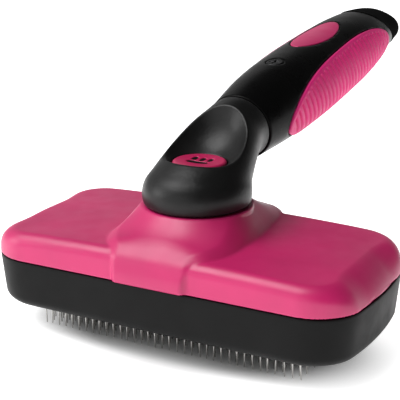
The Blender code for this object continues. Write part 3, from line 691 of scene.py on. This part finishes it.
def scoop(x, y, z):
    """The thumb rest: a wide dish round the button that climbs to a rounded point."""
    stretch = np.where(y > SCOOP_CENTRE[1], SCOOP_STRETCH, 1.0)
    along = SCOOP_CENTRE[1] + (y - SCOOP_CENTRE[1]) / stretch
    half = SCOOP_HALF_FRONT + (SCOOP_HALF_BACK - SCOOP_HALF_FRONT) * step_up(y, -6.0, 11.0)
    return ellipsoid(x * SCOOP_SIZE[0] / half, along, z, SCOOP_CENTRE, SCOOP_SIZE)


def neck_field(x, y, z):
    body = np.minimum(neck_body(x, y, z), rod(x, y, z, SPIGOT_RADIUS, COVER_TOP_Z + 0.3,
                                              COLLAR_Z + 2))
    body = minus(body, scoop(x, y, z), 0.45)
    along = y - BUTTON_Y
    body = minus(body, rod(x, along, z, 7.8, 36.8, 56.6), 0.25)
    body = minus(body, rod(x, along, z, 6.1, 32.5, 37.5))
    return minus(body, rod(x, along, z, PLUNGER_WAY, 20.0, 40.0))


def make_neck():
    moulded("moulded_neck", neck_field, (-16, -17, 29.5), (16, 58, 66), 0.4, NECK_BLACK,
            "neck", "root")


def button_dish(reach):
    return 0.35 * (1 - step_up(reach, 0.0, BUTTON_RADIUS - 1.0))


def button_field(x, along, z):
    y = along - BUTTON_Y
    reach = np.hypot(x, y)
    below_top = z - BUTTON_TOP_Z + button_dish(reach)
    cap = both(reach - BUTTON_RADIUS, np.maximum(below_top, BUTTON_TOP_Z - 3.4 - z), 0.9)
    boss = rod(x, y, z, 4.5, BUTTON_LOW[2], BUTTON_TOP_Z - 3)
    whole = minus(np.minimum(cap, boss), rod(x, y, z, PLUNGER_WAY, 20, BUTTON_TOP_Z - 2.6))
    return minus(whole, mark_plan(x, y, BUTTON_TOP_Z - 0.6, z, 0.08), 0.1)


def mark_plan(x, y, floor, z, grow=0.0):
    """A generic mark: a filled pill with three short bars behind it."""
    pill = np.hypot(np.maximum(np.abs(x) - 2.0, 0), y + 1.2) - 1.15
    bars = np.minimum.reduce([
        np.hypot(x - c, np.maximum(np.abs(y - 1.9) - 0.75, 0)) - 0.62 for c in (-2.4, 0.0, 2.4)])
    return both(np.minimum(pill, bars) - grow, floor - z)


def mark_field(x, along, z):
    y = along - BUTTON_Y
    below_top = z - BUTTON_TOP_Z + button_dish(np.hypot(x, y)) + 0.05
    return both(mark_plan(x, y, BUTTON_TOP_Z - 0.55, z), below_top, 0.12)


def make_button():
    edge = BUTTON_RADIUS + 0.6
    moulded("pink_button", button_field, (-edge, BUTTON_Y - edge, BUTTON_LOW[2] - 0.4),
            (edge, BUTTON_Y + edge, BUTTON_TOP_Z + 0.5), 0.22, BUTTON_PINK, "thumb_button",
            "ejector")
    moulded("black_mark", mark_field, (-4.4, BUTTON_Y - 3.4, BUTTON_TOP_Z - 0.9),
            (4.4, BUTTON_Y + 4.2, BUTTON_TOP_Z + 0.3), 0.12, MARK_BLACK, "button_mark",
            "ejector")


# ---------------------------------------------------------------- handle
def cap_side(y, z):
    """Distance past the slanted plane where the end cap starts."""
    return (y - CAP_SPLIT[0]) * math.cos(CAP_SLANT) + (z - CAP_SPLIT[1]) * math.sin(CAP_SLANT)


def section_angle(x, height, half_width, half_height):
    """How far round the handle's section a point is, from zero at either side."""
    return np.arctan2(height / half_height, np.abs(x) / half_width)


def grip_edge(x, station, height, half_width, half_height):
    """Rough distance to the lens outline of the side grips, on either side."""
    middle, half = (GRIP_START + GRIP_END) / 2, (GRIP_END - GRIP_START) / 2
    along = np.clip(np.abs(station - middle) / half, 1e-6, 3.0)
    angle = section_angle(x, height, half_width, half_height)
    drop = GRIP_DROP * np.clip((GRIP_END - station) / (GRIP_END - GRIP_START), 0, 1)
    across = (angle + drop) / GRIP_HALF_ANGLE
    level = along ** GRIP_POINT + across ** 2 - 1
    steep = np.hypot(GRIP_POINT * along ** (GRIP_POINT - 1) / half,
                     2 * across / (GRIP_HALF_ANGLE * half_height))
    return level / np.maximum(steep, 0.02)


def badge_edge(x, station, height):
    """Distance to the badge's oval outline on top of the handle."""
    flat = oval(x, station - BADGE_CENTRE, BADGE_WIDTH / 2, BADGE_LENGTH / 2)
    return np.where(height > 0, flat, 9.0)


def sleeve_field(x, y, z):
    station, height, half_width, half_height = handle_place(x, y, z)
    skin = oval(x, height, half_width, half_height)
    lens = grip_edge(x, station, height, half_width, half_height)
    badge = badge_edge(x, station, height)
    body = both(skin, SLEEVE_START - station, 0.5)
    bore = np.where(station < 58.0, oval(x, height, 8.9, 8.5), skin + SLEEVE_WALL)
    body = minus(body, bore, 0.3)
    body = minus(body, both(lens - 0.25, -(skin + GRIP_DEPTH), 0.2), 0.35)
    body = minus(body, both(badge - 0.12, -(skin + 0.8)), 0.2)
    well = both(np.hypot(x, station - HANDLE_SCREW_Y) - 2.7, -(height - half_height + 1.4))
    body = minus(body, well, 0.5)
    return both(body, cap_side(y, z), 0.4)


def cap_field(x, y, z):
    station, height, half_width, half_height = handle_place(x, y, z)
    skin = oval(x, height, half_width, half_height)
    body = both(skin - 0.33, station - TAIL_END + 0.1, 3.6)
    body = minus(body, both(skin + 3.6, station - 138.0))
    return both(body, 0.12 - cap_side(y, z), 0.5)


def rib_wave(station, angle):
    """Depth of the grip's curved grooves, zero on the ribs' crowns."""
    phase = (station + 5.0 * angle - 4.0 * angle ** 2) / RIB_PITCH
    near = np.abs(phase - np.round(phase)) * RIB_PITCH
    return RIB_DEPTH * (1 - step_up(near, 0.05, 0.75))


def grip_field(x, y, z):
    station, height, half_width, half_height = handle_place(x, y, z)
    skin = oval(x, height, half_width, half_height)
    lens = grip_edge(x, station, height, half_width, half_height)
    angle = section_angle(x, height, half_width, half_height)
    ribs = rib_wave(station, angle) * step_up(-lens, 1.2, 2.2)
    outer = both(lens, skin - GRIP_PROUD + ribs, 0.5)
    return both(outer, -(skin + GRIP_DEPTH - 0.3))


def badge_field(x, y, z):
    station, height, half_width, half_height = handle_place(x, y, z)
    skin = oval(x, height, half_width, half_height)
    return both(both(badge_edge(x, station, height), skin, 0.2), -(skin + 0.6))


def make_handle():
    moulded("black_sleeve", sleeve_field, (-14.5, 23, 41), (14.5, 145, 76), 0.5, BLACK,
            "handle_sleeve", "root")
    moulded("tail_cap", cap_field, (-13.5, 104, 52), (13.5, TAIL_END + 1, 76), 0.5, SOFT_BLACK,
            "end_cap", "root")
    for side, name in ((-1, "left"), (1, "right")):
        near, far = sorted((side * 7.0, side * 14.6))
        moulded(f"ribbed_grip_{name}", grip_field, (near, 35, 43), (far, 123, 73), 0.3,
                SOFT_PINK, f"side_grip_{name}", "root")
    moulded("oval_badge", badge_field, (-6.5, 60, 66), (6.5, 99, 75), 0.3, PINK, "handle_badge",
            "root")


# ---------------------------------------------------------------- screws that show
def screw_field(u, v, w, head, thick, shank, length):
    """A pan-head screw whose cross-recessed face looks along +w, with its top at zero."""
    cap = rod(u, v, w, head, -thick, 0.0, 0.25)
    stem = rod(u, v, w, shank, -length, -thick + 0.1)
    arm = 0.62 * head
    cross = np.minimum(np.maximum(np.abs(u) - CROSS_HALF, np.abs(v) - arm),
                       np.maximum(np.abs(v) - CROSS_HALF, np.abs(u) - arm))
    return minus(np.minimum(cap, stem), both(cross, -w - CROSS_DEPTH), 0.06)


def handle_screw_field(x, y, z):
    station, height, _, half_height = handle_place(x, y, z)
    return screw_field(x, station - HANDLE_SCREW_Y, height - half_height + 0.2, 2.55, 1.1, 1.0,
                       6.2)


def make_screws():
    moulded("handle_cross_screw", handle_screw_field, (-3.2, 46.5, 58.0), (3.2, 56.0, 71.0), 0.2,
            DARK_SCREW, "handle_screw", "root")
    for side, name in ((-1, "left"), (1, "right")):
        def field(x, y, z, centre=side * LEG_X):
            return screw_field(x - centre, y, TRAY_Z + 0.1 - z, 1.8, 0.7, 1.0, 7.8)
        moulded(f"tray_cross_screw_{name}", field, (side * LEG_X - 2.4, -2.4, TRAY_Z - 0.4),
                (side * LEG_X + 2.4, 2.4, TRAY_Z + 8.6), 0.2, SCREW, f"tray_screw_{name}",
                "ejector")


# ---------------------------------------------------------------- carried-over CAD nodes
def finish_frame_nodes():
    """Gives each CAD node that stays its procedural material, by its slot."""
    finishes = {"inner_plastic": INNER, "pin_rubber": RUBBER, "spring_steel": SPRING,
                "screw_steel": SCREW}
    slots = {part["node"]: part["material_slot"] for part in frame["record"]["subparts"]}
    for node, made in frame["nodes"].items():
        finish = finishes.get(slots[node])
        if finish:
            made.data.materials.clear()
            made.data.materials.append(finish)


# ---------------------------------------------------------------- stage
def glow_floor_with_painted_shadow(paper):
    """Paints light and shade on the floor: it glows everywhere but in a dim patch under the head,
    a painted contact shadow.
    """
    tree = paper.tree
    mapping = tree.nodes.new("ShaderNodeMapping")
    mapping.inputs["Location"].default_value = (0.0, -HEAD_Y * MM / PAINTED_SHADOW_HALF[1], 0.0)
    mapping.inputs["Scale"].default_value = (1 / PAINTED_SHADOW_HALF[0], 1 / PAINTED_SHADOW_HALF[1], 0.0)
    length = tree.nodes.new("ShaderNodeVectorMath")
    length.operation = "LENGTH"
    glow = tree.nodes.new("ShaderNodeMapRange")
    glow.interpolation_type = "SMOOTHSTEP"
    glow.inputs["From Min"].default_value = PAINTED_SHADOW_FROM
    glow.inputs["From Max"].default_value = PAINTED_SHADOW_TO
    glow.inputs["To Max"].default_value = PAINTED_FLOOR_GLOW
    tree.links.new(paper.spot, mapping.inputs["Vector"])
    tree.links.new(mapping.outputs["Vector"], length.inputs[0])
    tree.links.new(length.outputs["Value"], glow.inputs["Value"])
    # painted light: the floor's emission, dimmed to a painted contact shadow under the head
    tree.links.new(glow.outputs["Result"], paper.shader.inputs["Emission Strength"])


def make_floor():
    shape = bmesh.new()
    bmesh.ops.create_grid(shape, x_segments=4, y_segments=4, size=3.0)
    mesh = bpy.data.meshes.new("floor")
    shape.to_mesh(mesh)
    shape.free()
    paper = Finish("glowing_floor_paper", 0.9, Emission_Color=(1, 1, 1, 1), Specular_IOR_Level=0.0)
    paper.colours(paper.noise(3.0), (0.2, (0.86, 0.86, 0.86)), (0.8, (0.9, 0.9, 0.9)))
    # painted glow on the floor, with a painted contact shadow under the head
    glow_floor_with_painted_shadow(paper)
    floor = link("floor", mesh, paper.material)
    floor.location.z = -0.0002


def area_light(name, place, target, size, power):
    data = bpy.data.lights.new(name, "AREA")
    data.shape = "RECTANGLE"
    data.size, data.size_y = size
    data.energy = power
    made = bpy.data.objects.new(name, data)
    bpy.context.scene.collection.objects.link(made)
    made.location = place
    aim = Vector(target) - Vector(place)
    made.rotation_euler = aim.to_track_quat("-Z", "Y").to_euler()


def make_world():
    """Soft grey surroundings, darker high up and towards +X."""
    world = bpy.data.worlds.new("studio")
    bpy.context.scene.world = world
    world.use_nodes = True
    tree = world.node_tree
    spot = tree.nodes.new("ShaderNodeTexCoord")
    split = tree.nodes.new("ShaderNodeSeparateXYZ")
    ramp = tree.nodes.new("ShaderNodeValToRGB")
    ramp.color_ramp.elements[0].position = 0.30
    ramp.color_ramp.elements[0].color = (0.46, 0.46, 0.46, 1.0)
    ramp.color_ramp.elements[1].position = 0.46
    ramp.color_ramp.elements[1].color = (0.03, 0.03, 0.03, 1.0)
    tree.links.new(spot.outputs["Generated"], split.inputs["Vector"])
    tilt = tree.nodes.new("ShaderNodeMath")
    tilt.operation = "MULTIPLY_ADD"
    tilt.inputs[1].default_value = 0.4
    tree.links.new(split.outputs["X"], tilt.inputs[0])
    tree.links.new(split.outputs["Z"], tilt.inputs[2])
    tree.links.new(tilt.outputs["Value"], ramp.inputs["Fac"])
    tree.links.new(ramp.outputs["Color"], tree.nodes["Background"].inputs["Color"])


def make_lights():
    middle = (0, -0.04, 0.03)
    area_light("left_box", (-0.80, -0.50, 0.30), middle, (0.40, 0.40), 2.6)
    area_light("front_low", (-0.15, -1.0, 0.34), middle, (0.9, 0.3), 1.0)
    area_light("top_box", (-0.40, -0.29, 0.78), middle, (0.55, 0.55), 3.0)
    data = bpy.data.lights.new("broad_key", "SUN")
    data.energy = SUN_POWER
    data.angle = math.radians(SUN_ANGLE)
    made = bpy.data.objects.new("broad_key", data)
    bpy.context.scene.collection.objects.link(made)
    made.rotation_euler = Vector(SUN_WAY).to_track_quat("-Z", "Y").to_euler()


def make_camera():
    level = math.cos(CAMERA_ELEVATION)
    back = Vector((math.sin(CAMERA_AZIMUTH) * level, -math.cos(CAMERA_AZIMUTH) * level,
                   math.sin(CAMERA_ELEVATION)))
    data = bpy.data.cameras.new("camera")
    data.sensor_width = 36.0
    data.lens = data.sensor_width / 2 / math.tan(CAMERA_VIEW / 2)
    camera = bpy.data.objects.new("camera", data)
    bpy.context.scene.collection.objects.link(camera)
    camera.location = (CAMERA_TARGET + back * CAMERA_DISTANCE) * MM
    camera.rotation_euler = back.to_track_quat("Z", "Y").to_euler()
    bpy.context.scene.camera = camera


make_camera()
make_world()
make_lights()
make_floor()
finish_frame_nodes()
make_cover()
make_tray()
make_pins()
make_neck()
make_button()
make_handle()
make_screws()
bpy.context.scene.view_settings.view_transform = "Standard"
